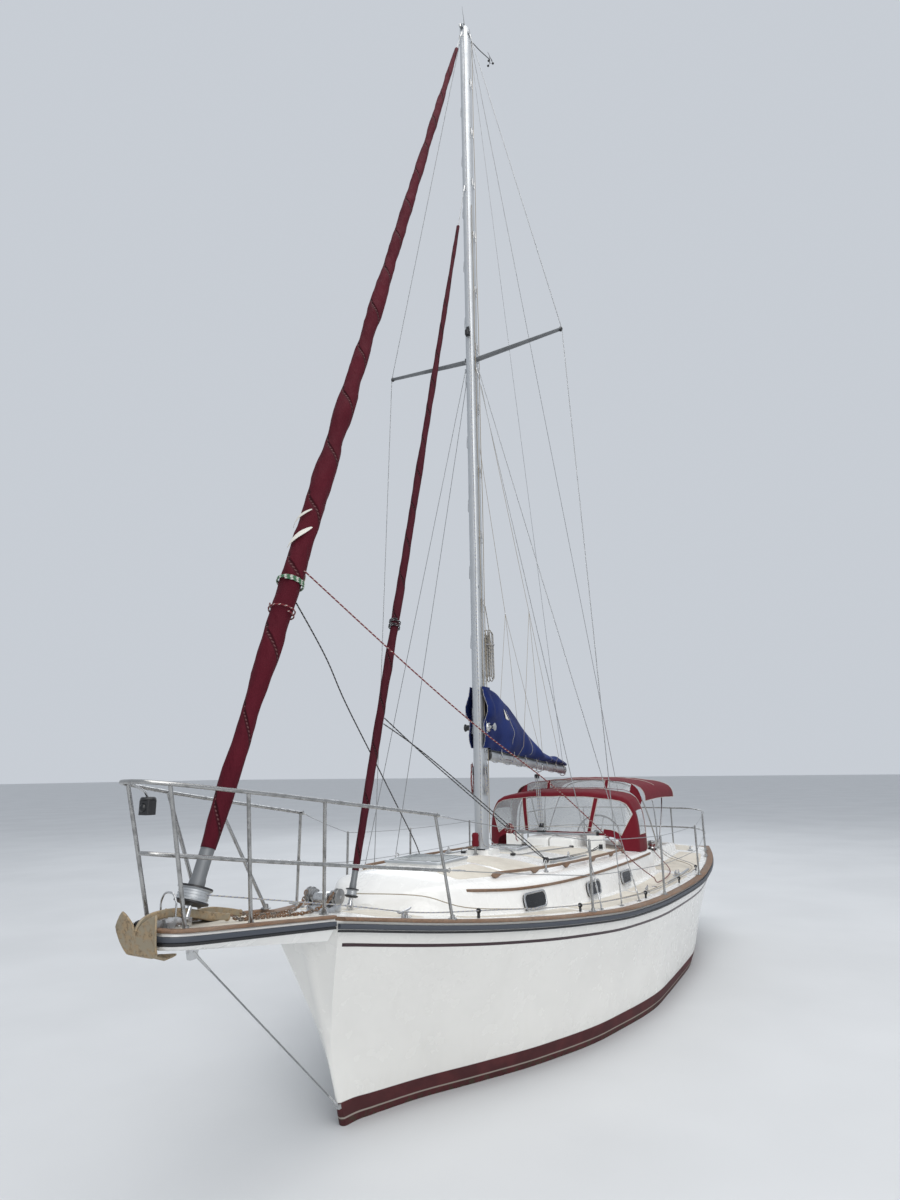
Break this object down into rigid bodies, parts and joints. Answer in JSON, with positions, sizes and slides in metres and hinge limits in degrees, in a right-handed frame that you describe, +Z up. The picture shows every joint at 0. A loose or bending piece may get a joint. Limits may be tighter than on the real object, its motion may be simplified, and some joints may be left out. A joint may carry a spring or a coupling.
{
  "type": "sailing yacht",
  "caption": "Afloat long-keeled cutter yacht with bow platform, furled headsails, covered mainsail on its boom, spray dodger, bimini, wheel steering and guard rails",
  "frame": {"origin": "amidships on the centreline, at the waterline", "axes": "+X forward, +Y to port, +Z up"},
  "size_m": [10.8479, 3.552, 14.2],
  "materials": {
    "gelcoat": "cream-white gelcoat, dark red below the waterline",
    "antifouling": "dark red antifouling paint",
    "teak": "weathered oiled teak",
    "rubber": "slate grey rubbing strip",
    "stainless": "polished stainless tube and castings",
    "alloy": "anodised grey",
    "galvanised": "weathered galvanising with rust",
    "wire": "laid stainless wire",
    "sailcloth": "burgundy sun strip on furled sails",
    "cover": "blue woven cover cloth",
    "canvas": "burgundy woven canvas",
    "glazing": "tinted glazing",
    "bronze": "cast bronze",
    "iron": "painted grey"
  },
  "bodies": {
    "boat": {"backstay": "wire", "bimini_canvas": "canvas", "bimini_frame": "stainless", "bobstay": "wire", "bow_platform": "gelcoat", "bow_roller": "stainless", "bower_anchor": "galvanised", "cockpit_moulding": "gelcoat", "deck_moulding": "gelcoat", "dodger_canvas": "canvas", "dodger_frame": "stainless", "engine_block": "iron", "forestay": "wire", "hull": "gelcoat", "inner_stay": "wire", "keel": "antifouling", "mainsheet_traveller": "alloy", "mast": "alloy", "mast_post": "alloy", "port_cap_rail": "teak", "port_handrail": "teak", "port_portlight_1": "glazing", "port_portlight_2": "glazing", "port_portlight_3": "glazing", "port_shrouds": "wire", "port_spreader": "alloy", "port_winch": "stainless", "pulpit": "stainless", "rub_rail": "rubber", "sail_cover_collar": "cover", "sea_hood": "gelcoat", "second_anchor": "galvanised", "starboard_cap_rail": "teak", "starboard_handrail": "teak", "starboard_portlight_1": "glazing", "starboard_portlight_2": "glazing", "starboard_portlight_3": "glazing", "starboard_shrouds": "wire", "starboard_spreader": "alloy", "starboard_winch": "stainless", "steering_pedestal": "gelcoat", "stern_rail": "stainless", "washboards": "teak", "windlass": "stainless"},
    "rudder_blade": {"rudder": "gelcoat"},
    "wheel": {"steering_wheel": "stainless"},
    "screw": {"propeller": "bronze"},
    "boom_spar": {"boom": "alloy", "sail_cover": "cover"},
    "genoa_furler": {"genoa_drum": "alloy", "genoa_roll": "sailcloth"},
    "staysail_furler": {"staysail_drum": "alloy", "staysail_roll": "sailcloth"},
    "fore_hatch_lid": {"fore_hatch": "glazing"},
    "mid_hatch_lid": {"mid_hatch": "glazing"},
    "companion_hatch": {"sliding_hatch": "gelcoat"},
    "port_locker": {"port_locker_lid": "gelcoat"},
    "starboard_locker": {"starboard_locker_lid": "gelcoat"}
  },
  "joints": [
    {"name": "rudder_turn", "type": "hinge", "parent": "boat", "child": "rudder_blade", "pos_m": [-3.505, 0, -1.176], "axis": [-0.4356, 0, 0.9001], "range_deg": [-35, 35]},
    {"name": "wheel_turn", "type": "hinge", "parent": "boat", "child": "wheel", "pos_m": [-2.77, 0, 1.44], "axis": [1, 0, 0], "range_deg": [-360, 360]},
    {"name": "screw_turn", "type": "hinge", "parent": "boat", "child": "screw", "pos_m": [-3.5, 0, -0.56], "axis": [1, 0, 0], "continuous": true},
    {"name": "boom_swing", "type": "hinge", "parent": "boat", "child": "boom_spar", "pos_m": [1.445, 0, 2.7], "axis": [0, 0, 1], "range_deg": [-65.7, 54.3]},
    {"name": "genoa_furl", "type": "hinge", "parent": "boat", "child": "genoa_furler", "pos_m": [5.695, 0, 1.7], "axis": [-0.3382, 0, 0.9411], "continuous": true},
    {"name": "staysail_furl", "type": "hinge", "parent": "boat", "child": "staysail_furler", "pos_m": [4.032, 0, 1.512], "axis": [-0.259, 0, 0.9659], "continuous": true},
    {"name": "fore_hatch_open", "type": "hinge", "parent": "boat", "child": "fore_hatch_lid", "pos_m": [3.104, 0, 1.708], "axis": [0, 1, 0], "range_deg": [0, 95]},
    {"name": "mid_hatch_open", "type": "hinge", "parent": "boat", "child": "mid_hatch_lid", "pos_m": [1.164, 0, 1.646], "axis": [0, 1, 0], "range_deg": [0, 95]},
    {"name": "companion_slide", "type": "slide", "parent": "boat", "child": "companion_hatch", "axis": [1, 0, 0], "range_m": [0, 0.5]},
    {"name": "port_locker_open", "type": "hinge", "parent": "boat", "child": "port_locker", "pos_m": [-2.56, 0.884, 0.962], "axis": [-1, 0, 0], "range_deg": [0, 85]},
    {"name": "starboard_locker_open", "type": "hinge", "parent": "boat", "child": "starboard_locker", "pos_m": [-2.56, -0.884, 0.962], "axis": [1, 0, 0], "range_deg": [0, 85]}
  ],
  "couplings": [
    {"joint": "wheel_turn", "follows": "rudder_turn", "ratio": 10}
  ]
}
